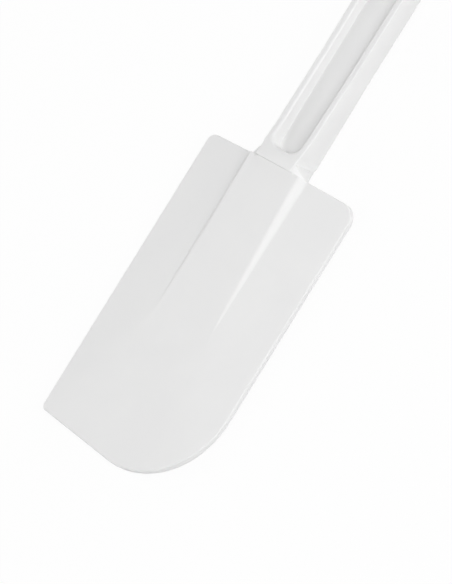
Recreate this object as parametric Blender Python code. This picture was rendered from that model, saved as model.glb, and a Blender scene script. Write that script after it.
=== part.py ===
"""Rubber spatula: a white rubber blade pushed onto the tang of a plain moulded handle.

Lengths are in metres. X runs across the blade, with the blade's round corner on the +X side.
+Y runs towards the end of the handle, and +Z out of the ribbed face. The spatula lies on its
back, and the origin is under the middle of its outline.
"""
import math

import bmesh
import bpy
from mathutils import Vector

MM = 0.001

# Blade, seen from the front
BLADE_LENGTH = 114.3 * MM
BLADE_WIDTH = 70.0 * MM
TIP_RADIUS = 29.5 * MM
TIP_SLANT = math.radians(7.7)
HEEL_RADIUS = 2.3 * MM
ROUND_SIDE_SHOULDER_RADIUS = 5.8 * MM
STRAIGHT_SIDE_SHOULDER_RADIUS = 4.7 * MM

# Blade, through its thickness
EDGE_THICKNESS = 2.2 * MM
WING_ROOT_THICKNESS = 5.85 * MM
RIB_THICKNESS = 8.85 * MM
RIB_WIDTH = 23.5 * MM
RIB_FLANK = 1.6 * MM
RIB_FALL = 0.048
RIB_STRAIGHT = 60.0 * MM
BACK_RIB_HEIGHT = 2.4 * MM
BACK_RIB_LENGTH = 52.0 * MM
BACK_RIB_LEVEL = 12.0 * MM
BLADE_EDGE_ROUNDING = 0.5 * MM

# Gussets of the blade beside the neck
GUSSET_HEIGHT_FRONT = 2.9 * MM
GUSSET_HEIGHT_BACK = 4.2 * MM
GUSSET_SPREAD_BACK = 2.0 * MM
GUSSET_BELOW_NECK_FACE = 0.35 * MM

# Handle, seen from the front
HANDLE_LENGTH = 228.7 * MM
NECK_WIDTH = 16.8 * MM
NECK_LENGTH = 4.2 * MM
NECK_FLARE = 1.8 * MM
FLARE_WIDTH = 17.5 * MM
GRIP_WIDTH = 19.0 * MM
GRIP_FULL_WIDTH_AT = 90.0 * MM
RIM_WIDTH = 2.5 * MM
CHANNEL_DRAFT = 0.7 * MM
CHANNEL_START = 5.4 * MM
CHANNEL_STOP = 24.0 * MM
CHANNEL_END_RADIUS = 4.0 * MM
HANGING_HOLE_DIAMETER = 8.0 * MM
HANGING_HOLE_FROM_END = 11.0 * MM

# Handle, through its thickness, with its neck's face a step over the rib's
NECK_THICKNESS = 11.9 * MM
NECK_STEP = 1.3 * MM
FLARE_THICKNESS = 10.8 * MM
GRIP_THICKNESS = 8.8 * MM
GRIP_FULL_TAPER_AT = 42.0 * MM
WEB_THICKNESS = 1.6 * MM
HANDLE_EDGE_ROUNDING = 0.45 * MM

# Tang, inside the blade
TANG_LENGTH = 50.0 * MM
TANG_ROOT_WIDTH = 14.4 * MM
TANG_TIP_WIDTH = 11.0 * MM
TANG_ROOT_THICKNESS = 6.0 * MM
TANG_TIP_THICKNESS = 2.4 * MM
TANG_EDGE_ROUNDING = 0.8 * MM

# Running gap between the two mouldings
FIT_GAP = 0.3 * MM

# Fineness of the curves, and the angles that part walls from faces and edges from curves
ARC_STEP = math.radians(7.5)
TAPER_STATIONS = 9
FLARE_STATIONS = 8
ROUNDING_SEGMENTS = 2
WALL_LEAN = math.radians(6)
EDGE_ANGLE = math.radians(35)

# Overshoot of cutters past what they cut, and of joined shapes into each other
OVERSHOOT = 2.0 * MM
ROOT_OVERLAP = 0.2 * MM

# Places worked out from the sizes above
SHOULDER_Y = (BLADE_LENGTH - HANDLE_LENGTH) / 2
BLADE_BACK_Z = BACK_RIB_HEIGHT
NECK_FACE_Z = BLADE_BACK_Z + RIB_THICKNESS + NECK_STEP
HANDLE_MIDDLE_Z = NECK_FACE_Z - NECK_THICKNESS / 2
TANG_MIDDLE_Z = (BLADE_BACK_Z + RIB_THICKNESS) / 2
TANG_ROOT_Y = CHANNEL_START / 2
NECK_END_Y = FIT_GAP


def clear_scene():
    for old in list(bpy.data.objects):
        bpy.data.objects.remove(old, do_unlink=True)


def plastic(name, colour, roughness):
    """Returns a Principled material for one moulding."""
    material = bpy.data.materials.new(name)
    material.use_nodes = True
    shader = material.node_tree.nodes["Principled BSDF"]
    shader.inputs["Base Color"].default_value = (*colour, 1.0)
    shader.inputs["Roughness"].default_value = roughness
    shader.inputs["Metallic"].default_value = 0.0
    return material


def add_object(name, bm, parent):
    """Turns a bmesh into a named object with its faces pointing out."""
    bmesh.ops.recalc_face_normals(bm, faces=bm.faces)
    mesh = bpy.data.meshes.new(name)
    bm.to_mesh(mesh)
    bm.free()
    obj = bpy.data.objects.new(name, mesh)
    bpy.context.collection.objects.link(obj)
    obj.parent = parent
    return obj


def combine(target, operation, bm):
    """Joins another shape to a piece, cuts it out of it or trims the piece to it."""
    other = add_object("tool_shape", bm, target.parent)
    modifier = target.modifiers.new(operation, "BOOLEAN")
    modifier.operation = operation
    modifier.solver = "EXACT"
    modifier.object = other
    apply_modifiers(target)
    bpy.data.objects.remove(other, do_unlink=True)


def apply_modifiers(target):
    """Keeps a shape as its modifiers make it, so that its new edges can be rounded."""
    depsgraph = bpy.context.evaluated_depsgraph_get()
    shape = bpy.data.meshes.new_from_object(target.evaluated_get(depsgraph))
    target.modifiers.clear()
    target.data = shape


def round_edges(target, width):
    """Rounds every edge of a piece, outside and inside corners alike."""
    modifier = target.modifiers.new("edge_rounding", "BEVEL")
    modifier.width = width
    modifier.segments = ROUNDING_SEGMENTS
    modifier.limit_method = "ANGLE"
    modifier.angle_limit = EDGE_ANGLE
    apply_modifiers(target)


def is_wall(face):
    return abs(face.normal.z) < math.sin(WALL_LEAN)


def round_rim(target, width, past):
    """Rounds the rim of a plate's two faces, where it lies further out than past."""
    bm = bmesh.new()
    bm.from_mesh(target.data)
    rim = []
    for edge in bm.edges:
        on_rim = sorted(is_wall(face) for face in edge.link_faces) == [False, True]
        if on_rim and any(abs(vert.co.x) > past or vert.co.y < -past for vert in edge.verts):
            rim.append(edge)
    round_bmesh_edges(bm, rim, width)
    bm.to_mesh(target.data)
    bm.free()


def round_bmesh_edges(bm, edges, width):
    bmesh.ops.bevel(
        bm,
        geom=edges,
        offset=width,
        offset_type="OFFSET",
        segments=ROUNDING_SEGMENTS,
        profile=0.5,
        affect="EDGES",
        material=-1,
    )


def shade_round(target):
    """Shades curves smooth and keeps true edges sharp."""
    target.data.shade_smooth()
    target.data.set_sharp_from_angle(angle=EDGE_ANGLE)


def move_origin(target, height):
    """Sets a piece's origin at a height over its parent's, with its shape left in place."""
    for vert in target.data.vertices:
        vert.co.z -= height
    target.location.z = height


def prism(points, sweep):
    """Returns a bmesh of a closed outline pushed along the vector sweep."""
    bm = bmesh.new()
    face = bm.faces.new([bm.verts.new(point) for point in points])
    pushed = bmesh.ops.extrude_face_region(bm, geom=[face])
    moved = [part for part in pushed["geom"] if isinstance(part, bmesh.types.BMVert)]
    bmesh.ops.translate(bm, verts=moved, vec=sweep)
    return bm


def loft(loops):
    """Returns a bmesh of the closed shape through loops of as many points each."""
    bm = bmesh.new()
    rings = [[bm.verts.new(point) for point in loop] for loop in loops]
    for near, far in zip(rings, rings[1:]):
        for index, corner in enumerate(near):
            after = (index + 1) % len(near)
            bm.faces.new((corner, near[after], far[after], far[index]))
    bm.faces.new(rings[0])
    bm.faces.new(rings[-1])
    return bm


def arc(centre, radius, start, end):
    """Returns points along a circle from the angle start to the angle end, both included."""
    steps = max(2, round(abs(end - start) / ARC_STEP))
    angles = [start + (end - start) * step / steps for step in range(steps + 1)]
    return [(centre[0] + radius * math.cos(a), centre[1] + radius * math.sin(a)) for a in angles]


def rounded_outline(corners):
    """Rounds each corner (x, y, radius) of an outline that runs anticlockwise."""
    points = []
    for index, (x, y, radius) in enumerate(corners):
        if radius == 0:
            points.append((x, y))
            continue
        here = Vector((x, y))
        before = (Vector(corners[index - 1][:2]) - here).normalized()
        after = (Vector(corners[(index + 1) % len(corners)][:2]) - here).normalized()
        half_angle = before.angle(after) / 2
        centre = here + (before + after).normalized() * radius / math.sin(half_angle)
        start = math.atan2(-before.x, before.y) + math.pi
        points += arc(centre, radius, start, start + math.pi - 2 * half_angle)
    return points


def eased(share):
    """Runs smoothly from 1 to 0 while share runs from 0 to 1."""
    return 0.5 + 0.5 * math.cos(math.pi * min(max(share, 0.0), 1.0))


def blade_outline():
    """Outline of the blade: square shoulders, a slanted tip and one large round corner."""
    half = BLADE_WIDTH / 2
    arc_x = half - TIP_RADIUS
    arc_y = TIP_RADIUS - BLADE_LENGTH

    def tip_line(x):
        return arc_y - (TIP_RADIUS + math.sin(TIP_SLANT) * (x - arc_x)) / math.cos(TIP_SLANT)

    corners = [
        (half, 0.0, ROUND_SIDE_SHOULDER_RADIUS),
        (-half, 0.0, STRAIGHT_SIDE_SHOULDER_RADIUS),
        (-half, tip_line(-half), HEEL_RADIUS),
        (half, tip_line(half), TIP_RADIUS),
    ]
    return rounded_outline(corners)


def rib_thickness(distance):
    """Thickness over the rib, which falls straight and then curves down to the tip's edge."""
    straight = RIB_THICKNESS - RIB_FALL * distance
    rest = BLADE_LENGTH - RIB_STRAIGHT
    drop = RIB_THICKNESS - RIB_FALL * BLADE_LENGTH - EDGE_THICKNESS
    beyond = max(0.0, distance - RIB_STRAIGHT)
    return straight - drop * (beyond / rest) ** 2


def wing_thickness(x):
    """Thickness of a wing, which falls evenly from the foot of the rib to the blade's side."""
    root = RIB_WIDTH / 2 + RIB_FLANK
    share = (x - root) / (BLADE_WIDTH / 2 - root)
    return WING_ROOT_THICKNESS + (EDGE_THICKNESS - WING_ROOT_THICKNESS) * share


def wing_meets_rib(thickness):
    """Returns how far out a wing is as thick as the rib, and never less than the rib's foot."""
    root = RIB_WIDTH / 2 + RIB_FLANK
    reach = (WING_ROOT_THICKNESS - thickness) / (WING_ROOT_THICKNESS - EDGE_THICKNESS)
    return root + max(0.0, reach) * (BLADE_WIDTH / 2 - root)


def blade_section(distance):
    """Cross-section of the blade at a distance from the shoulder, anticlockwise from the front."""
    side = BLADE_WIDTH / 2 + OVERSHOOT
    rib = rib_thickness(distance)
    foot = wing_meets_rib(rib)
    level_or_past = max(0.0, distance - BACK_RIB_LEVEL) / (BACK_RIB_LENGTH - BACK_RIB_LEVEL)
    back_rib = BACK_RIB_HEIGHT * max(0.0, 1 - level_or_past)
    back_foot = RIB_WIDTH / 2 + RIB_FLANK
    right = [
        (RIB_WIDTH / 2, -back_rib),
        (back_foot, 0.0),
        (side, 0.0),
        (side, wing_thickness(side)),
        (foot, wing_thickness(foot)),
        (RIB_WIDTH / 2, rib),
    ]
    left = [(-x, z) for x, z in reversed(right)]
    return [Vector((x, -distance, BLADE_BACK_Z + z)) for x, z in right + left]


def blade_stations():
    """Distances from the shoulder at which the blade's section is set."""
    curved = BLADE_LENGTH + OVERSHOOT - RIB_STRAIGHT
    spread = [RIB_STRAIGHT + curved * step / TAPER_STATIONS for step in range(TAPER_STATIONS + 1)]
    vanishing = (RIB_THICKNESS - WING_ROOT_THICKNESS) / RIB_FALL
    return sorted({-OVERSHOOT, BACK_RIB_LEVEL, BACK_RIB_LENGTH, vanishing, *spread})


def gussets():
    """Two wedges that spread from the neck's sides to the corners of the rib."""
    inner = handle_width(GUSSET_HEIGHT_BACK) / 2 + FIT_GAP
    front = NECK_FACE_Z - GUSSET_BELOW_NECK_FACE
    rib_top = BLADE_BACK_Z + RIB_THICKNESS
    foot_z = BLADE_BACK_Z + WING_ROOT_THICKNESS
    low = BLADE_BACK_Z + ROOT_OVERLAP
    corners = [
        (inner, GUSSET_HEIGHT_FRONT, front - GUSSET_BELOW_NECK_FACE),
        (inner, GUSSET_HEIGHT_BACK, low),
        (inner, -ROOT_OVERLAP, front),
        (RIB_WIDTH / 2, -ROOT_OVERLAP, rib_top - ROOT_OVERLAP),
        (RIB_WIDTH / 2 + RIB_FLANK - ROOT_OVERLAP, -ROOT_OVERLAP, foot_z - ROOT_OVERLAP),
        (inner + GUSSET_SPREAD_BACK, -ROOT_OVERLAP, low),
        (inner, -ROOT_OVERLAP, low),
    ]
    bm = bmesh.new()
    for side in (1, -1):
        verts = [bm.verts.new((side * x, y, z)) for x, y, z in corners]
        bmesh.ops.convex_hull(bm, input=verts)
    return bm


def tang(clearance, root):
    """The tapered tang, or with a clearance the socket that takes it."""
    bm = bmesh.new()
    bmesh.ops.create_cube(bm, size=1.0)
    slope_x = (TANG_ROOT_WIDTH - TANG_TIP_WIDTH) / TANG_LENGTH
    slope_z = (TANG_ROOT_THICKNESS - TANG_TIP_THICKNESS) / TANG_LENGTH
    for vert in bm.verts:
        y = root if vert.co.y > 0 else -TANG_LENGTH - clearance
        width = TANG_ROOT_WIDTH + slope_x * y + 2 * clearance
        thickness = TANG_ROOT_THICKNESS + slope_z * y + 2 * clearance
        vert.co = (math.copysign(width / 2, vert.co.x), y, math.copysign(thickness / 2, vert.co.z))
    edges = [edge for edge in bm.edges if min(vert.co.y for vert in edge.verts) < -TANG_LENGTH / 2]
    round_bmesh_edges(bm, edges, TANG_EDGE_ROUNDING + clearance)
    bmesh.ops.translate(bm, verts=bm.verts, vec=(0, 0, TANG_MIDDLE_Z))
    return bm


def handle_width(y):
    """Width of the handle at a height over the shoulder: neck, short flare, widening grip."""
    if y < NECK_LENGTH + NECK_FLARE:
        share = (y - NECK_LENGTH) / NECK_FLARE
        return FLARE_WIDTH + (NECK_WIDTH - FLARE_WIDTH) * eased(share)
    run = GRIP_FULL_WIDTH_AT - NECK_LENGTH - NECK_FLARE
    share = min(1.0, (y - NECK_LENGTH - NECK_FLARE) / run)
    return FLARE_WIDTH + (GRIP_WIDTH - FLARE_WIDTH) * share


def handle_thickness(y):
    """Thickness of the handle at a height over the shoulder: neck, short flare, tapering grip."""
    if y < NECK_LENGTH + NECK_FLARE:
        share = (y - NECK_LENGTH) / NECK_FLARE
        return FLARE_THICKNESS + (NECK_THICKNESS - FLARE_THICKNESS) * eased(share)
    run = GRIP_FULL_TAPER_AT - NECK_LENGTH - NECK_FLARE
    share = min(1.0, (y - NECK_LENGTH - NECK_FLARE) / run)
    return FLARE_THICKNESS + (GRIP_THICKNESS - FLARE_THICKNESS) * share


def flare_heights():
    """Heights over the shoulder at which the neck's flare is set."""
    return [NECK_LENGTH + NECK_FLARE * step / FLARE_STATIONS for step in range(FLARE_STATIONS + 1)]


def handle_outline():
    """Front outline of the handle, with a round end."""
    end_radius = GRIP_WIDTH / 2
    end_y = HANDLE_LENGTH - end_radius
    heights = [NECK_END_Y, *flare_heights(), GRIP_FULL_WIDTH_AT]
    right = [(handle_width(y) / 2, y) for y in heights]
    left = [(-x, y) for x, y in reversed(right)]
    return right + arc((0, end_y), end_radius, 0, math.pi) + left


def handle_side():
    """Side outline of the handle, the same about its middle."""
    heights = [NECK_END_Y, *flare_heights(), GRIP_FULL_TAPER_AT, HANDLE_LENGTH + OVERSHOOT]
    front = [(y, handle_thickness(y) / 2) for y in heights]
    back = [(y, -z) for y, z in reversed(front)]
    return front + back


def channel_outline(inset):
    """Outline of a channel at an inset from the handle's sides, with rounded corners."""
    below_rim = inset - RIM_WIDTH
    start_y = CHANNEL_START + below_rim
    stop_y = HANDLE_LENGTH - CHANNEL_STOP - below_rim
    start_x = handle_width(start_y) / 2 - inset
    full_x = GRIP_WIDTH / 2 - inset
    start_radius = min(CHANNEL_END_RADIUS - below_rim, start_x)
    stop_radius = min(CHANNEL_END_RADIUS - below_rim, full_x)
    corners = [
        (-start_x, start_y, start_radius),
        (start_x, start_y, start_radius),
        (full_x, GRIP_FULL_WIDTH_AT, 0),
        (full_x, stop_y, stop_radius),
        (-full_x, stop_y, stop_radius),
        (-full_x, GRIP_FULL_WIDTH_AT, 0),
    ]
    return rounded_outline(corners)


def channel(facing):
    """Shape cut from the face at +Z or -Z of the handle's middle, with drafted walls."""
    depth = (GRIP_THICKNESS - WEB_THICKNESS) / 2
    loops = []
    for rise in (0.0, NECK_THICKNESS / 2):
        inset = RIM_WIDTH + CHANNEL_DRAFT * (1 - rise / depth)
        z = HANDLE_MIDDLE_Z + facing * (WEB_THICKNESS / 2 + rise)
        loops.append([Vector((x, y, z)) for x, y in channel_outline(inset)])
    return loft(loops)


def hanging_hole():
    centre = (0, HANDLE_LENGTH - HANGING_HOLE_FROM_END)
    rim = arc(centre, HANGING_HOLE_DIAMETER / 2, 0, 2 * math.pi)[:-1]
    depth = NECK_THICKNESS / 2 + OVERSHOOT
    bottom = [Vector((x, y, HANDLE_MIDDLE_Z - depth)) for x, y in rim]
    return prism(bottom, (0, 0, 2 * depth))


def build_handle(parent, material):
    tall = NECK_THICKNESS + 2 * OVERSHOOT
    wide = GRIP_WIDTH + 2 * OVERSHOOT
    front = [Vector((x, y, HANDLE_MIDDLE_Z - tall / 2)) for x, y in handle_outline()]
    side = [Vector((-wide / 2, y, HANDLE_MIDDLE_Z + z)) for y, z in handle_side()]
    handle = add_object("handle", prism(front, (0, 0, tall)), parent)
    handle.data.materials.append(material)
    combine(handle, "INTERSECT", prism(side, (wide, 0, 0)))
    combine(handle, "DIFFERENCE", channel(1))
    combine(handle, "DIFFERENCE", channel(-1))
    combine(handle, "DIFFERENCE", hanging_hole())
    round_edges(handle, HANDLE_EDGE_ROUNDING)
    combine(handle, "UNION", tang(0.0, TANG_ROOT_Y))
    shade_round(handle)
    return handle


def build_blade(parent, material):
    outline = [Vector((x, y, -OVERSHOOT)) for x, y in blade_outline()]
    tall = BLADE_BACK_Z + RIB_THICKNESS + 2 * OVERSHOOT
    sections = [blade_section(distance) for distance in blade_stations()]
    blade = add_object("blade", loft(sections), parent)
    blade.data.materials.append(material)
    combine(blade, "INTERSECT", prism(outline, (0, 0, tall)))
    round_rim(blade, BLADE_EDGE_ROUNDING, RIB_WIDTH / 2 + RIB_FLANK)
    combine(blade, "UNION", gussets())
    combine(blade, "DIFFERENCE", tang(FIT_GAP, OVERSHOOT))
    shade_round(blade)
    move_origin(blade, TANG_MIDDLE_Z)
    return blade


def main():
    clear_scene()
    shoulder = bpy.data.objects.new("shoulder", None)
    shoulder.location = (0, SHOULDER_Y, 0)
    bpy.context.collection.objects.link(shoulder)
    build_handle(shoulder, plastic("handle_polypropylene", (0.80, 0.80, 0.80), 0.38))
    build_blade(shoulder, plastic("blade_rubber", (0.78, 0.78, 0.78), 0.55))


main()
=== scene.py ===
"""Dresses a rubber spatula: its two mouldings in fine detail, in a white studio.

Lengths are in metres. X runs across the blade, with the blade's round corner on the +X side.
+Y runs towards the end of the handle, and +Z out of the ribbed face. A piece is drawn with the
blade's shoulder at Y = 0, and is moved to the frame's shoulder when it is finished.
"""
import math

import bmesh
import bpy
from mathutils import Matrix, Vector


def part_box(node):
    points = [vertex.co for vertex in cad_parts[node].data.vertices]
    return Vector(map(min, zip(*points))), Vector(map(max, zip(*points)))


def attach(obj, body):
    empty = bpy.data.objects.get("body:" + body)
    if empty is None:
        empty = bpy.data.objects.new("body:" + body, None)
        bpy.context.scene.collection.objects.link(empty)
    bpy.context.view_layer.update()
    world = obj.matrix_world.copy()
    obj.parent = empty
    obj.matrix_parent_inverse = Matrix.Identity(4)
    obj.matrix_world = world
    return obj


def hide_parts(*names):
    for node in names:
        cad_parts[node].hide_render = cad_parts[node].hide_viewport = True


MM = 0.001

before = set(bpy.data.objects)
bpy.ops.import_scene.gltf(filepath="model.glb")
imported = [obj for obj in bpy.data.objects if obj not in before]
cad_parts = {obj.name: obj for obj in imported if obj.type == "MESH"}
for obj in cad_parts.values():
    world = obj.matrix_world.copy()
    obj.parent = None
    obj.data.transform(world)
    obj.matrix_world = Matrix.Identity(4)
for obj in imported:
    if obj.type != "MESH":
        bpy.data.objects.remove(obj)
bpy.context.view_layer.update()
handle_low, handle_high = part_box("handle")
blade_low, blade_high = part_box("blade")

# Blade, seen from the front
BLADE_LENGTH = 114.3 * MM
BLADE_WIDTH = blade_high.x - blade_low.x
TIP_RADIUS = 31.0 * MM
TIP_SLANT = math.radians(7.5)
HEEL_RADIUS = 2.3 * MM
ROUND_SIDE_SHOULDER_RADIUS = 6.1 * MM
STRAIGHT_SIDE_SHOULDER_RADIUS = 3.2 * MM

# Blade, through its thickness
EDGE_THICKNESS = 2.2 * MM
WING_ROOT_THICKNESS = 5.85 * MM
RIB_THICKNESS = 8.85 * MM
RIB_WIDTH = 23.5 * MM
RIB_FLANK = 1.6 * MM
RIB_FALL = 0.048
RIB_STRAIGHT = 60.0 * MM
RIB_END_RADIUS = 1.8 * MM
BACK_RIB_HEIGHT = 2.4 * MM
BACK_RIB_LENGTH = 52.0 * MM
BACK_RIB_LEVEL = 12.0 * MM

# Roundings of the blade, each as far as it reaches from its corner, and how its flanks narrow
RIB_ARRIS_REACH = 0.8 * MM
RIB_ARRIS_SPREAD = 0.012
RIB_FOOT_REACH = 0.9 * MM
RIB_LAST_REACH = 0.12 * MM
RIB_NARROWING = 0.6
WING_BREAK_REACH = 3.0 * MM
BACK_RIB_EASE = 4.0 * MM
BLADE_RIM_RADIUS = 0.5 * MM
BLADE_RIM_STEPS = 5

# Gussets of the blade beside the neck
GUSSET_HEIGHT_FRONT = 2.9 * MM
GUSSET_HEIGHT_BACK = 4.2 * MM
GUSSET_SPREAD_FRONT = 0.6 * MM
GUSSET_SPREAD_BACK = 2.0 * MM
GUSSET_BELOW_NECK_FACE = 0.35 * MM
GUSSET_COLLAR_RADIUS = 0.25 * MM
GUSSET_RIDGE_RADIUS = 0.5 * MM
GUSSET_TOP_RADIUS = 1.4 * MM
GUSSET_FOOT_RADIUS = 0.8 * MM
GUSSET_IN_BLADE = 0.05 * MM

# Handle, seen from the front
NECK_WIDTH = 16.8 * MM
NECK_LENGTH = 4.2 * MM
NECK_FLARE = 1.8 * MM
FLARE_WIDTH = 17.5 * MM
GRIP_WIDTH = handle_high.x - handle_low.x
GRIP_FULL_WIDTH_AT = 90.0 * MM
RIM_WIDTH = 2.5 * MM
CHANNEL_DRAFT = 0.4 * MM
CHANNEL_START = 5.4 * MM
CHANNEL_STOP = 24.0 * MM
CHANNEL_END_RADIUS = 4.0 * MM
CHANNEL_FLOOR_RADIUS = 2.8 * MM
HANGING_HOLE_DIAMETER = 8.0 * MM
HANGING_HOLE_FROM_END = 11.0 * MM

# Handle, through its thickness
NECK_THICKNESS = handle_high.z - handle_low.z
NECK_SLOPE_LENGTH = 12.0 * MM
NECK_SLOPE_EASE = 1.5 * MM
FLARE_THICKNESS = 10.8 * MM
GRIP_THICKNESS = 8.8 * MM
GRIP_FULL_TAPER_AT = 42.0 * MM
WEB_THICKNESS = 1.6 * MM
HANDLE_EDGE_ROUNDING = 0.45 * MM
RIM_ROUNDING = 0.95 * MM
FLOOR_ROUNDING = 0.06 * MM
FLOOR_CROWN = 0.3 * MM
FLOOR_FALL_WIDTH = 1.4 * MM

# Tang and socket
TANG_ROOT_WIDTH = 14.4 * MM
TANG_TIP_WIDTH = 11.0 * MM
TANG_ROOT_THICKNESS = 6.0 * MM
TANG_TIP_THICKNESS = 2.4 * MM
TANG_EDGE_ROUNDING = 0.8 * MM

# The seam, as narrow as it looks on the real one, and the room round the hidden tang
SEAM = 0.004 * MM
SOCKET_ROOM = 0.1 * MM

# Fineness of the shapes: steps of arcs and roundings, and of the cuts across each surface
ARC_STEP = math.radians(3)
ROUNDING_STEPS = 4
BALL_SUBDIVISIONS = 4
RIB_COLUMN_STEP = 2.2 * MM
FLANK_COLUMN_STEP = 0.12 * MM
WING_COLUMN_STEP = 1.1 * MM
BLADE_ROW_STEP = 1.6 * MM
RIB_END_ROW_STEP = 0.2 * MM
BACK_RIB_ROW_STEP = 2.0 * MM
FLARE_STEP = 0.2 * MM
NECK_EASE_STEP = 0.5 * MM

# What counts as an edge, as level and as one point, and how far a cut runs past its face
EDGE_ANGLE = math.radians(32)
LEVEL_NORMAL = 0.99
MERGE = 0.002 * MM
OVERSHOOT = 2.0 * MM

# Finishes: the colour's two tones, roughness range, grain size and depth of each moulding
PLASTIC = {
    "tones": ((0.78, 0.78, 0.78), (0.805, 0.805, 0.802)),
    "roughness": (0.34, 0.42),
    "blotch": 45.0,
    "grain": 2600.0,
    "grain_depth": 0.012 * MM,
}
RUBBER = {
    "tones": ((0.775, 0.775, 0.775), (0.80, 0.80, 0.797)),
    "roughness": (0.50, 0.60),
    "blotch": 30.0,
    "grain": 1800.0,
    "grain_depth": 0.02 * MM,
}
BLOTCH_DETAIL = 3.0
BLOTCH_DISTORTION = 0.6
TONE_STOPS = (0.3, 0.7)
GRAIN_DETAIL = 2.0
GRAIN_STRENGTH = 0.5

# Studio
FLOOR_SIZE = 12.0
FLOOR_WHITE = 0.85
FLOOR_SHADOW_SHARE = 0.05
FLOOR_DROP = 0.05 * MM
LIGHT_AIM = Vector((0.0, -80.0 * MM, 0.0))
LIGHT_SIZE = 0.8

# Soft boxes: bearing from +X towards +Y and height in degrees, distance in metres, and the share
# of full white that each gives to a white surface that faces it
LIGHTS = {
    "right_low": (0, 18, 1.6, 0.19),
    "right_middle": (0, 42, 1.6, 0.37),
    "right_high": (22, 42, 1.0, 0.29),
    "top": (0, 90, 1.6, 0.13),
    "end_low": (90, 18, 1.6, 0.30),
    "left_high": (202, 42, 1.6, 0.26),
    "left_low": (180, 18, 1.6, 0.21),
    "tip_low": (270, 18, 1.6, 0.26),
}

# Camera: its place, lens, reach and roll, and where it looks from the middle of the shoulder
TO_CAMERA = Vector((0.606, -0.07, 0.79))
CAMERA_DISTANCE = 6000 * MM
CAMERA_LENS = 1100.0
CAMERA_SENSOR = 36.0
CAMERA_REACH = 50.0
IMAGE_TURN = math.radians(32.2)
LEAN = math.radians(0.45)
LOOK_HEIGHT = 3.5 * MM
LOOK_ACROSS = 4.53 * MM
LOOK_ALONG = -44.80 * MM

# Places worked out from the sizes above
SHOULDER_Y = blade_low.y + BLADE_LENGTH
HANDLE_LENGTH = handle_high.y - SHOULDER_Y
TANG_LENGTH = SHOULDER_Y - handle_low.y
NECK_FACE_Z = handle_high.z
NECK_RISE = NECK_THICKNESS - FLARE_THICKNESS
HANDLE_MIDDLE_Z = handle_low.z + FLARE_THICKNESS / 2
BLADE_BACK_Z = BACK_RIB_HEIGHT
TANG_MIDDLE_Z = (BLADE_BACK_Z + RIB_THICKNESS) / 2
RIB_EDGE = RIB_WIDTH / 2
RIB_FOOT = RIB_EDGE + RIB_FLANK
WING_FALL = (WING_ROOT_THICKNESS - EDGE_THICKNESS) / (BLADE_WIDTH / 2 - RIB_FOOT)


def piece_from(name, bm):
    """Turns a bmesh into an object with its faces pointing out."""
    bmesh.ops.recalc_face_normals(bm, faces=bm.faces)
    mesh = bpy.data.meshes.new(name)
    bm.to_mesh(mesh)
    bm.free()
    piece = bpy.data.objects.new(name, mesh)
    bpy.context.collection.objects.link(piece)
    return piece


def combine(piece, operation, bm):
    """Joins another shape to a piece or cuts it out of it."""
    other = piece_from("tool_shape", bm)
    modifier = piece.modifiers.new(operation, "BOOLEAN")
    modifier.operation = operation
    modifier.solver = "EXACT"
    modifier.object = other
    depsgraph = bpy.context.evaluated_depsgraph_get()
    shape = bpy.data.meshes.new_from_object(piece.evaluated_get(depsgraph))
    piece.modifiers.clear()
    piece.data = shape
    bpy.data.objects.remove(other, do_unlink=True)


def round_over(bm, edges, width):
    """Rounds edges over, each as far as a width into its faces."""
    bmesh.ops.bevel(
        bm,
        geom=edges,
        offset=width,
        offset_type="OFFSET",
        segments=ROUNDING_STEPS,
        profile=0.5,
        affect="EDGES",
        clamp_overlap=False,
        material=-1,
    )


def cut_across(bm, normal, places):
    """Cuts a shape's faces along planes square to a direction, and keeps both sides."""
    for place in places:
        everything = [*bm.verts, *bm.edges, *bm.faces]
        point = normal * place
        bmesh.ops.bisect_plane(bm, geom=everything, dist=MERGE, plane_co=point, plane_no=normal)


def outline_face(bm, corners, level):
    """Draws the corners (x, y, radius) of an outline anticlockwise, with round ones spun."""
    earlier = set(bm.edges)
    first = None
    last = None
    for index, (x, y, radius) in enumerate(corners):
        here = Vector((x, y, level))
        before = (Vector((*corners[index - 1][:2], level)) - here).normalized()
        after = (Vector((*corners[(index + 1) % len(corners)][:2], level)) - here).normalized()
        start = bm.verts.new(here)
        end = start
        if radius > 0:
            half_angle = before.angle(after) / 2
            start.co = here + before * radius / math.tan(half_angle)
            centre = here + (before + after).normalized() * radius / math.sin(half_angle)
            sweep = math.pi - 2 * half_angle
            steps = max(2, round(sweep / ARC_STEP))
            turned = bmesh.ops.spin(
                bm, geom=[start], cent=centre, axis=(0, 0, 1), angle=sweep, steps=steps
            )
            end = turned["geom_last"][0]
        if last:
            bm.edges.new((last, start))
        first = first or start
        last = end
    bm.edges.new((last, first))
    drawn = [edge for edge in bm.edges if edge not in earlier]
    return bmesh.ops.contextual_create(bm, geom=drawn)["faces"][0]


def raise_face(bm, face, height):
    """Pushes an outline's face up by a height and closes the solid under it."""
    pushed = bmesh.ops.extrude_face_region(bm, geom=[face], use_keep_orig=True)
    moved = [part for part in pushed["geom"] if isinstance(part, bmesh.types.BMVert)]
    bmesh.ops.translate(bm, verts=moved, vec=(0, 0, height))
    bmesh.ops.recalc_face_normals(bm, faces=bm.faces)


def level_faces(bm):
    """Returns the two faces that a raised outline has at its bottom and top."""
    return [face for face in bm.faces if abs(face.normal.z) > LEVEL_NORMAL]


def rounding(offset, corner, turn, reach):
    """Height that a rounded corner adds to a profile whose slope changes there by turn."""
    near = reach - abs(offset - corner)
    return turn * near * near / (4 * reach) if near > 0 else 0.0


def eased(share):
    """Runs smoothly from 1 to 0 while share runs from 0 to 1."""
    return 0.5 + 0.5 * math.cos(math.pi * min(max(share, 0.0), 1.0))


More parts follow.
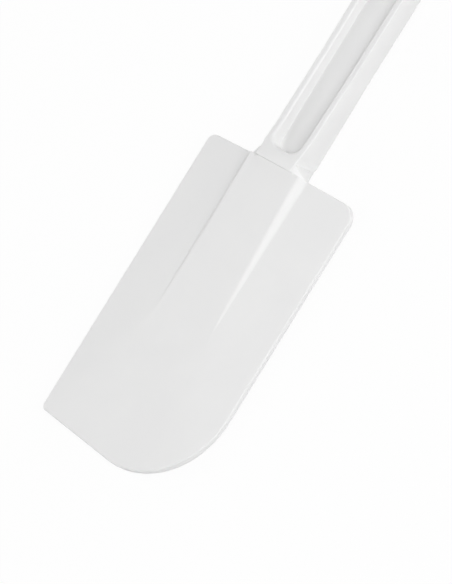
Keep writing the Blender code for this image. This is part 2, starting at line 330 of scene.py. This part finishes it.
def rib_thickness(distance):
    """Thickness over the rib, which falls straight and then curves down to the tip's edge."""
    straight = RIB_THICKNESS - RIB_FALL * distance
    drop = RIB_THICKNESS - RIB_FALL * BLADE_LENGTH - EDGE_THICKNESS
    beyond = max(0.0, distance - RIB_STRAIGHT)
    return straight - drop * (beyond / (BLADE_LENGTH - RIB_STRAIGHT)) ** 2


def rib_offset(x, distance):
    """Distance from the rib's middle line, measured round the rib's corner near its end."""
    past = RIB_END_RADIUS - RIB_ARRIS_REACH - distance
    side = abs(x) - (RIB_EDGE - RIB_END_RADIUS)
    if past < 0 or side < 0:
        return abs(x)
    return RIB_EDGE - RIB_END_RADIUS + math.hypot(side, past)


def front_height(x, distance):
    """Height of the blade's front over its back plane: the flanks narrow as the rib sinks."""
    x = rib_offset(x, distance)
    rib = rib_thickness(distance)
    stand = rib - WING_ROOT_THICKNESS
    if stand > 0:
        share = stand / (RIB_THICKNESS - WING_ROOT_THICKNESS)
        flank = RIB_FLANK * share**RIB_NARROWING
        fall = stand / flank
        edge = RIB_FOOT - flank
        down = fall * min(max(x - edge, 0.0), flank) + WING_FALL * max(x - RIB_FOOT, 0.0)
        arris_reach = max(RIB_LAST_REACH, min(RIB_ARRIS_REACH + RIB_ARRIS_SPREAD * distance, flank))
        foot_reach = RIB_LAST_REACH + (RIB_FOOT_REACH - RIB_LAST_REACH) * share
        soft = rounding(x, edge, -fall, arris_reach)
        soft += rounding(x, RIB_FOOT, fall - WING_FALL, foot_reach)
        return rib - down + soft
    foot = RIB_FOOT - stand / WING_FALL
    reach = RIB_LAST_REACH + min(WING_BREAK_REACH - RIB_LAST_REACH, foot - RIB_FOOT)
    return rib - WING_FALL * max(x - foot, 0.0) + rounding(x, foot, -WING_FALL, reach)


def back_height(x, distance):
    """Height of the blade's back over its back plane, which the back rib reaches below."""
    x = abs(x)
    slope_length = BACK_RIB_LENGTH - BACK_RIB_LEVEL
    fall = BACK_RIB_HEIGHT / slope_length
    rib = BACK_RIB_HEIGHT - fall * min(max(distance - BACK_RIB_LEVEL, 0.0), slope_length)
    rib += rounding(distance, BACK_RIB_LEVEL, -fall, BACK_RIB_EASE)
    rib += rounding(distance, BACK_RIB_LENGTH, fall, BACK_RIB_EASE)
    rise = rib / RIB_FLANK
    height = rise * min(max(x - RIB_EDGE, 0.0), RIB_FLANK) - rib
    height += rounding(x, RIB_EDGE, rise, RIB_ARRIS_REACH)
    return height + rounding(x, RIB_FOOT, -rise, RIB_FOOT_REACH)


def spread(start, stop, step):
    """Returns evenly spaced places from start to stop, at most step apart."""
    count = max(1, math.ceil((stop - start) / step))
    return [start + (stop - start) * index / count for index in range(count + 1)]


def blade_columns():
    """Places across the blade at which its surface is cut: closest round the rib's edges."""
    fine_start = RIB_EDGE - RIB_END_RADIUS
    fine_stop = RIB_FOOT + RIB_FOOT_REACH
    side = [
        *spread(0.0, fine_start, RIB_COLUMN_STEP),
        *spread(fine_start, fine_stop, FLANK_COLUMN_STEP)[1:],
        *spread(fine_stop, BLADE_WIDTH / 2, WING_COLUMN_STEP)[1:-1],
    ]
    return [-x for x in side[1:]] + side


def blade_rows():
    """Places along the blade at which its surface is cut: closest where it curves."""
    straight = spread(-RIB_STRAIGHT, -RIB_END_RADIUS, BLADE_ROW_STEP)
    rib_end = spread(-RIB_END_RADIUS, 0.0, RIB_END_ROW_STEP)[1:-1]
    curved = spread(-BLADE_LENGTH, -RIB_STRAIGHT, BLADE_ROW_STEP)[1:-1]
    offsets = spread(-BACK_RIB_EASE, BACK_RIB_EASE, BACK_RIB_ROW_STEP)
    level_end = [-BACK_RIB_LEVEL + offset for offset in offsets]
    back_end = [-BACK_RIB_LENGTH + offset for offset in offsets]
    return straight + rib_end + curved + level_end + back_end


def blade_outline():
    """Corners of the blade: square shoulders, a slanted tip and one large round corner."""
    half = BLADE_WIDTH / 2
    arc_x = half - TIP_RADIUS
    arc_y = TIP_RADIUS - BLADE_LENGTH

    def tip_line(x):
        return arc_y - (TIP_RADIUS + math.sin(TIP_SLANT) * (x - arc_x)) / math.cos(TIP_SLANT)

    return [
        (half, 0.0, ROUND_SIDE_SHOULDER_RADIUS),
        (-half, 0.0, STRAIGHT_SIDE_SHOULDER_RADIUS),
        (-half, tip_line(-half), HEEL_RADIUS),
        (half, tip_line(half), TIP_RADIUS),
    ]


def blade_plate():
    """The blade's plate with a round rim on both faces, lifted to its rib and wings."""
    bm = bmesh.new()
    slab = BLADE_WIDTH
    raise_face(bm, outline_face(bm, blade_outline(), 0.0), slab)
    faces = level_faces(bm)
    angles = [math.pi / 2 * step / BLADE_RIM_STEPS for step in range(BLADE_RIM_STEPS + 1)]
    for near, far in zip(angles, angles[1:]):
        inward = BLADE_RIM_RADIUS * (math.cos(near) - math.cos(far))
        outward = BLADE_RIM_RADIUS * (math.sin(far) - math.sin(near))
        bmesh.ops.inset_region(
            bm, faces=faces, thickness=inward, depth=outward, use_even_offset=True
        )
    cut_across(bm, Vector((1, 0, 0)), blade_columns())
    cut_across(bm, Vector((0, 1, 0)), blade_rows())
    for vert in bm.verts:
        distance = -vert.co.y
        in_front = vert.co.z > slab / 2
        full = slab + BLADE_RIM_RADIUS if in_front else -BLADE_RIM_RADIUS
        under_full = vert.co.z - full
        if distance < BLADE_RIM_RADIUS:
            under_full *= 1 - eased((abs(vert.co.x) - RIB_EDGE) / RIB_FLANK)
        height = front_height if in_front else back_height
        vert.co.z = under_full + height(vert.co.x, distance)
    bmesh.ops.translate(bm, verts=bm.verts, vec=(0, 0, BLADE_BACK_Z))
    return bm


def gusset_balls():
    """Centres and radii of the balls that a gusset's round-edged skin is stretched over."""
    inner = handle_width(GUSSET_HEIGHT_BACK) / 2 + SEAM
    front = NECK_FACE_Z - GUSSET_BELOW_NECK_FACE
    low = BLADE_BACK_Z + GUSSET_IN_BLADE
    rib_top = BLADE_BACK_Z + RIB_THICKNESS - GUSSET_IN_BLADE
    wing_top = BLADE_BACK_Z + WING_ROOT_THICKNESS - GUSSET_IN_BLADE
    collar = GUSSET_COLLAR_RADIUS
    ridge = GUSSET_RIDGE_RADIUS
    top = GUSSET_TOP_RADIUS
    foot = GUSSET_FOOT_RADIUS
    return [
        ((inner, collar, front - collar), collar),
        ((inner, GUSSET_HEIGHT_FRONT - collar, front - collar), collar),
        ((inner, GUSSET_HEIGHT_BACK - top, low + top), top),
        ((inner + GUSSET_SPREAD_FRONT, -ridge, rib_top - ridge), ridge),
        ((RIB_FOOT - foot, -foot, wing_top - foot), foot),
        ((inner + GUSSET_SPREAD_BACK - foot, -foot, low + foot), foot),
    ]


def gussets():
    """Two wedges that spread from the neck's sides to the corners of the rib."""
    bm = bmesh.new()
    balls = gusset_balls()
    for centre, radius in balls:
        place = Matrix.Translation(centre)
        bmesh.ops.create_icosphere(
            bm, subdivisions=BALL_SUBDIVISIONS, radius=radius, matrix=place
        )
    bmesh.ops.delete(bm, geom=bm.edges[:], context="EDGES_FACES")
    skin = bmesh.ops.convex_hull(bm, input=bm.verts[:])
    inside = [part for part in skin["geom_interior"] if isinstance(part, bmesh.types.BMVert)]
    bmesh.ops.delete(bm, geom=inside, context="VERTS")
    side_plane = Vector(balls[0][0])
    everything = [*bm.verts, *bm.edges, *bm.faces]
    bmesh.ops.bisect_plane(
        bm, geom=everything, dist=MERGE, plane_co=side_plane, plane_no=(1, 0, 0), clear_inner=True
    )
    bmesh.ops.contextual_create(bm, geom=[edge for edge in bm.edges if edge.is_boundary])
    bmesh.ops.mirror(bm, geom=[*bm.verts, *bm.edges, *bm.faces], axis="X", merge_dist=0.0)
    return bm


def tang(clearance, root):
    """The tapered tang, or with a clearance the socket that takes it."""
    bm = bmesh.new()
    bmesh.ops.create_cube(bm, size=1.0)
    slope_x = (TANG_ROOT_WIDTH - TANG_TIP_WIDTH) / TANG_LENGTH
    slope_z = (TANG_ROOT_THICKNESS - TANG_TIP_THICKNESS) / TANG_LENGTH
    for vert in bm.verts:
        y = root if vert.co.y > 0 else -TANG_LENGTH - clearance
        width = TANG_ROOT_WIDTH + slope_x * y + 2 * clearance
        thickness = TANG_ROOT_THICKNESS + slope_z * y + 2 * clearance
        vert.co = (math.copysign(width / 2, vert.co.x), y, math.copysign(thickness / 2, vert.co.z))
    edges = [edge for edge in bm.edges if min(vert.co.y for vert in edge.verts) < -TANG_LENGTH / 2]
    round_over(bm, edges, TANG_EDGE_ROUNDING + clearance)
    bmesh.ops.translate(bm, verts=bm.verts, vec=(0, 0, TANG_MIDDLE_Z))
    return bm


def handle_width(y):
    """Width of the handle at a height over the shoulder: neck, short flare, widening grip."""
    flare_end = NECK_LENGTH + NECK_FLARE
    if y < flare_end:
        return FLARE_WIDTH + (NECK_WIDTH - FLARE_WIDTH) * eased((y - NECK_LENGTH) / NECK_FLARE)
    share = min(1.0, (y - flare_end) / (GRIP_FULL_WIDTH_AT - flare_end))
    return FLARE_WIDTH + (GRIP_WIDTH - FLARE_WIDTH) * share


def handle_thickness(y):
    """Thickness of the handle without its neck's rise: even to the flare's end, then tapering."""
    flare_end = NECK_LENGTH + NECK_FLARE
    share = min(max((y - flare_end) / (GRIP_FULL_TAPER_AT - flare_end), 0.0), 1.0)
    return FLARE_THICKNESS + (GRIP_THICKNESS - FLARE_THICKNESS) * share


def neck_rise(y):
    """How far the neck's face stands over the grip's front: it slopes evenly, then eases out."""
    slope = NECK_RISE / NECK_SLOPE_LENGTH
    rise = slope * max(0.0, NECK_SLOPE_LENGTH - y)
    return rise + rounding(y, NECK_SLOPE_LENGTH, slope, NECK_SLOPE_EASE)


def handle_bar():
    """A bar with a round end, as thick as the handle is at its flare."""
    half = GRIP_WIDTH / 2
    corners = [
        (half, SEAM, 0),
        (half, HANDLE_LENGTH, half),
        (-half, HANDLE_LENGTH, half),
        (-half, SEAM, 0),
    ]
    back = HANDLE_MIDDLE_Z - FLARE_THICKNESS / 2
    bm = bmesh.new()
    raise_face(bm, outline_face(bm, corners, back), FLARE_THICKNESS)
    bmesh.ops.remove_doubles(bm, verts=bm.verts, dist=MERGE)
    return bm


def channel(facing):
    """Shape cut from the bar's front (1) or back (-1): drafted walls and a crowned floor."""
    depth = (FLARE_THICKNESS - WEB_THICKNESS) / 2
    ends = []
    bm = bmesh.new()
    for share in (0.0, 1 + OVERSHOOT / depth):
        below_rim = CHANNEL_DRAFT * (1 - share)
        x = GRIP_WIDTH / 2 - RIM_WIDTH - below_rim
        start = CHANNEL_START + below_rim
        stop = HANDLE_LENGTH - CHANNEL_STOP - below_rim
        radius = CHANNEL_FLOOR_RADIUS + (CHANNEL_END_RADIUS - CHANNEL_FLOOR_RADIUS) * share
        corners = [(-x, start, radius), (x, start, radius), (x, stop, radius), (-x, stop, radius)]
        level = HANDLE_MIDDLE_Z + facing * (WEB_THICKNESS / 2 + depth * share)
        ends.append(outline_face(bm, corners, level))
    bmesh.ops.bridge_loops(bm, edges=[edge for end in ends for edge in end.edges])
    bmesh.ops.recalc_face_normals(bm, faces=bm.faces)
    bmesh.ops.inset_region(bm, faces=ends[:1], thickness=FLOOR_FALL_WIDTH, use_even_offset=True)
    bmesh.ops.translate(bm, verts=ends[0].verts, vec=(0, 0, facing * FLOOR_CROWN))
    return bm


def hanging_hole():
    """Round rod that is cut through the solid end of the bar."""
    bm = bmesh.new()
    bmesh.ops.create_cone(
        bm,
        cap_ends=True,
        segments=round(2 * math.pi / ARC_STEP),
        radius1=HANGING_HOLE_DIAMETER / 2,
        radius2=HANGING_HOLE_DIAMETER / 2,
        depth=NECK_THICKNESS + 2 * OVERSHOOT,
    )
    centre = (0, HANDLE_LENGTH - HANGING_HOLE_FROM_END, HANDLE_MIDDLE_Z)
    bmesh.ops.translate(bm, verts=bm.verts, vec=centre)
    return bm


def sharp_edges(bm):
    """Returns the bar's sharp edges, all but those of the neck's end."""
    past_seam = [edge for edge in bm.edges if max(vert.co.y for vert in edge.verts) > NECK_LENGTH]
    return [edge for edge in past_seam if edge.calc_face_angle(0) > EDGE_ANGLE]


def round_bar(bm):
    """Rounds the channels' rims and floors, then the bar's outer edges and its hole's."""
    inside = GRIP_WIDTH / 2 - RIM_WIDTH + MERGE
    channel_stop = HANDLE_LENGTH - CHANNEL_STOP + MERGE
    rims = []
    floors = []
    for edge in sharp_edges(bm):
        if any(abs(vert.co.x) > inside or vert.co.y > channel_stop for vert in edge.verts):
            continue
        middle_z = sum(vert.co.z for vert in edge.verts) / 2
        on_web = abs(middle_z - HANDLE_MIDDLE_Z) < WEB_THICKNESS / 2 + MERGE
        (floors if on_web else rims).append(edge)
    round_over(bm, floors, FLOOR_ROUNDING)
    round_over(bm, rims, RIM_ROUNDING)
    round_over(bm, sharp_edges(bm), HANDLE_EDGE_ROUNDING)


def draw_in_bar(bm):
    """Draws the bar in to the handle's widths and thicknesses, with its web left as it is."""
    flare = spread(NECK_LENGTH, NECK_LENGTH + NECK_FLARE, FLARE_STEP)
    ease_start = NECK_SLOPE_LENGTH - NECK_SLOPE_EASE
    ease_stop = NECK_SLOPE_LENGTH + NECK_SLOPE_EASE
    ease = spread(ease_start, ease_stop, NECK_EASE_STEP)
    cut_across(bm, Vector((0, 1, 0)), [*flare, *ease, GRIP_FULL_TAPER_AT, GRIP_FULL_WIDTH_AT])
    web = WEB_THICKNESS / 2
    wall = FLARE_THICKNESS / 2 - web
    channel_middle = GRIP_WIDTH / 2 - RIM_WIDTH - CHANNEL_DRAFT - CHANNEL_END_RADIUS
    for vert in bm.verts:
        x, y, z = vert.co
        narrower = (GRIP_WIDTH - handle_width(y)) / 2
        vert.co.x = x - math.copysign(narrower * min(1.0, abs(x) / channel_middle), x)
        over_web = max(0.0, abs(z - HANDLE_MIDDLE_Z) - web) / wall
        thinner = (FLARE_THICKNESS - handle_thickness(y)) / 2
        if z > HANDLE_MIDDLE_Z:
            vert.co.z = z + over_web * (neck_rise(y) - thinner)
        else:
            vert.co.z = z + over_web * thinner


def finish_piece(piece, body, node, material):
    """Moves a finished piece to the frame's shoulder and puts it in its node's place."""
    bm = bmesh.new()
    bm.from_mesh(piece.data)
    bmesh.ops.remove_doubles(bm, verts=bm.verts, dist=MERGE)
    bmesh.ops.translate(bm, verts=bm.verts, vec=(0, SHOULDER_Y, 0))
    bm.to_mesh(piece.data)
    bm.free()
    piece.data.shade_smooth()
    piece.data.set_sharp_from_angle(angle=EDGE_ANGLE)
    piece.data.materials.clear()
    piece.data.materials.append(material)
    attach(piece, body)
    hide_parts(node)


def build_handle():
    """The handle's moulding: a bar with two channels and a hole, drawn in, and its tang."""
    handle = piece_from("handle_moulding", handle_bar())
    combine(handle, "DIFFERENCE", channel(1))
    combine(handle, "DIFFERENCE", channel(-1))
    combine(handle, "DIFFERENCE", hanging_hole())
    bm = bmesh.new()
    bm.from_mesh(handle.data)
    bmesh.ops.remove_doubles(bm, verts=bm.verts, dist=MERGE)
    round_bar(bm)
    draw_in_bar(bm)
    bm.to_mesh(handle.data)
    bm.free()
    combine(handle, "UNION", tang(0.0, CHANNEL_START / 2))
    plastic = moulded_white("white_polypropylene", PLASTIC)
    finish_piece(handle, "handle", "handle", plastic)


def build_blade():
    """The blade's moulding: its plate with two gussets, and the socket for the tang."""
    blade = piece_from("blade_moulding", blade_plate())
    combine(blade, "UNION", gussets())
    combine(blade, "DIFFERENCE", tang(SOCKET_ROOM, OVERSHOOT))
    rubber = moulded_white("white_rubber", RUBBER)
    finish_piece(blade, "blade", "blade", rubber)


def add_node(tree, kind, place, **inputs):
    """Adds a shader node at a place in its tree, with some of its inputs set."""
    node = tree.nodes.new(kind)
    node.location = place
    for name, value in inputs.items():
        node.inputs[name.replace("_", " ")].default_value = value
    return node


def moulded_white(name, finish):
    """White moulded surface: a faint flow of tone, uneven sheen and a fine grain."""
    material = bpy.data.materials.new(name)
    material.use_nodes = True
    tree = material.node_tree
    shader = tree.nodes["Principled BSDF"]
    place = add_node(tree, "ShaderNodeTexCoord", (-1100, 0))
    flow = add_node(
        tree,
        "ShaderNodeTexNoise",
        (-800, 200),
        Scale=finish["blotch"],
        Detail=BLOTCH_DETAIL,
        Distortion=BLOTCH_DISTORTION,
    )
    tone = add_node(tree, "ShaderNodeValToRGB", (-500, 300))
    for stop, position, colour in zip(tone.color_ramp.elements, TONE_STOPS, finish["tones"]):
        stop.position = position
        stop.color = (*colour, 1.0)
    least, most = finish["roughness"]
    sheen = add_node(tree, "ShaderNodeMapRange", (-500, 50), To_Min=least, To_Max=most)
    grain = add_node(
        tree, "ShaderNodeTexNoise", (-800, -250), Scale=finish["grain"], Detail=GRAIN_DETAIL
    )
    bump = add_node(
        tree,
        "ShaderNodeBump",
        (-300, -250),
        Strength=GRAIN_STRENGTH,
        Distance=finish["grain_depth"],
    )
    links = tree.links
    links.new(place.outputs["Object"], flow.inputs["Vector"])
    links.new(place.outputs["Object"], grain.inputs["Vector"])
    links.new(flow.outputs["Fac"], tone.inputs["Fac"])
    links.new(flow.outputs["Fac"], sheen.inputs["Value"])
    links.new(tone.outputs["Color"], shader.inputs["Base Color"])
    links.new(sheen.outputs["Result"], shader.inputs["Roughness"])
    links.new(grain.outputs["Fac"], bump.inputs["Height"])
    links.new(bump.outputs["Normal"], shader.inputs["Normal"])
    return material


def seen_white(tree):
    """Returns a socket that is 1 to the camera and to reflections, and 0 to light."""
    path = add_node(tree, "ShaderNodeLightPath", (-1000, 300))
    both = add_node(tree, "ShaderNodeMath", (-800, 300))
    seen = add_node(tree, "ShaderNodeMath", (-600, 300))
    seen.use_clamp = True
    tree.links.new(path.outputs["Is Camera Ray"], both.inputs[0])
    tree.links.new(path.outputs["Is Glossy Ray"], both.inputs[1])
    tree.links.new(both.outputs["Value"], seen.inputs[0])
    tree.links.new(path.outputs["Is Transmission Ray"], seen.inputs[1])
    return seen.outputs["Value"]


def add_floor():
    """Floor that looks evenly white, but for a small share that shows the shadow."""
    bm = bmesh.new()
    bmesh.ops.create_grid(bm, x_segments=1, y_segments=1, size=FLOOR_SIZE / 2)
    bmesh.ops.translate(bm, verts=bm.verts, vec=(0, 0, -FLOOR_DROP))
    floor = piece_from("floor", bm)
    material = bpy.data.materials.new("floor_white")
    material.use_nodes = True
    tree = material.node_tree
    tree.nodes.clear()
    white = (FLOOR_WHITE, FLOOR_WHITE, FLOOR_WHITE, 1.0)
    matt = add_node(tree, "ShaderNodeBsdfDiffuse", (-400, 0), Color=white)
    glow = add_node(tree, "ShaderNodeEmission", (-400, -150), Strength=1.0)
    share = add_node(tree, "ShaderNodeMath", (-400, 300))
    share.operation = "MULTIPLY"
    share.inputs[1].default_value = 1 - FLOOR_SHADOW_SHARE
    mix = add_node(tree, "ShaderNodeMixShader", (-100, 100))
    result = add_node(tree, "ShaderNodeOutputMaterial", (150, 100))
    tree.links.new(seen_white(tree), share.inputs[0])
    tree.links.new(share.outputs["Value"], mix.inputs["Fac"])
    tree.links.new(matt.outputs["BSDF"], mix.inputs[1])
    tree.links.new(glow.outputs["Emission"], mix.inputs[2])
    tree.links.new(mix.outputs["Shader"], result.inputs["Surface"])
    floor.data.materials.append(material)


def add_soft_box(name, bearing, height, distance, share):
    """Square lamp that faces the spatula, as strong as its share of full white needs."""
    bearing = math.radians(bearing)
    height = math.radians(height)
    level = math.cos(height)
    way = Vector((math.cos(bearing) * level, math.sin(bearing) * level, math.sin(height)))
    lamp = bpy.data.lights.new(name, "AREA")
    lamp.shape = "SQUARE"
    lamp.size = LIGHT_SIZE
    lamp.energy = share * (math.pi * distance) ** 2
    holder = bpy.data.objects.new(name, lamp)
    holder.location = LIGHT_AIM + way * distance
    holder.rotation_mode = "QUATERNION"
    holder.rotation_quaternion = (-way).to_track_quat("-Z", "Y")
    bpy.context.collection.objects.link(holder)


def light_studio():
    """Soft boxes all round, in a world that looks white and gives no light of its own."""
    for name, settings in LIGHTS.items():
        add_soft_box(name, *settings)
    world = bpy.data.worlds.new("studio")
    bpy.context.scene.world = world
    world.use_nodes = True
    tree = world.node_tree
    background = tree.nodes["Background"]
    background.inputs["Color"].default_value = (1.0, 1.0, 1.0, 1.0)
    tree.links.new(seen_white(tree), background.inputs["Strength"])


def add_camera():
    """Telephoto camera over the spatula's right side, rolled until the handle leans right."""
    towards = TO_CAMERA.normalized()
    along = Vector((0, 1, 0))
    along = (along - along.dot(towards) * towards).normalized()
    side = along.cross(towards)
    up_handle = math.cos(LEAN) * along + math.sin(LEAN) * side
    across = up_handle.cross(towards)
    look = Vector((0, SHOULDER_Y, LOOK_HEIGHT)) + LOOK_ACROSS * across + LOOK_ALONG * up_handle
    right = math.cos(IMAGE_TURN) * across + math.sin(IMAGE_TURN) * up_handle
    up = towards.cross(right)
    camera = bpy.data.cameras.new("photo_camera")
    camera.lens = CAMERA_LENS
    camera.sensor_width = CAMERA_SENSOR
    camera.clip_end = CAMERA_REACH
    holder = bpy.data.objects.new("photo_camera", camera)
    holder.location = look + towards * CAMERA_DISTANCE
    holder.rotation_mode = "QUATERNION"
    turn = (right, up, towards)
    rows = [[axis[row] for axis in turn] for row in range(3)]
    holder.rotation_quaternion = Matrix(rows).to_quaternion()
    bpy.context.collection.objects.link(holder)
    bpy.context.scene.camera = holder


build_handle()
build_blade()
add_floor()
light_studio()
add_camera()
bpy.context.scene.view_settings.view_transform = "Standard"
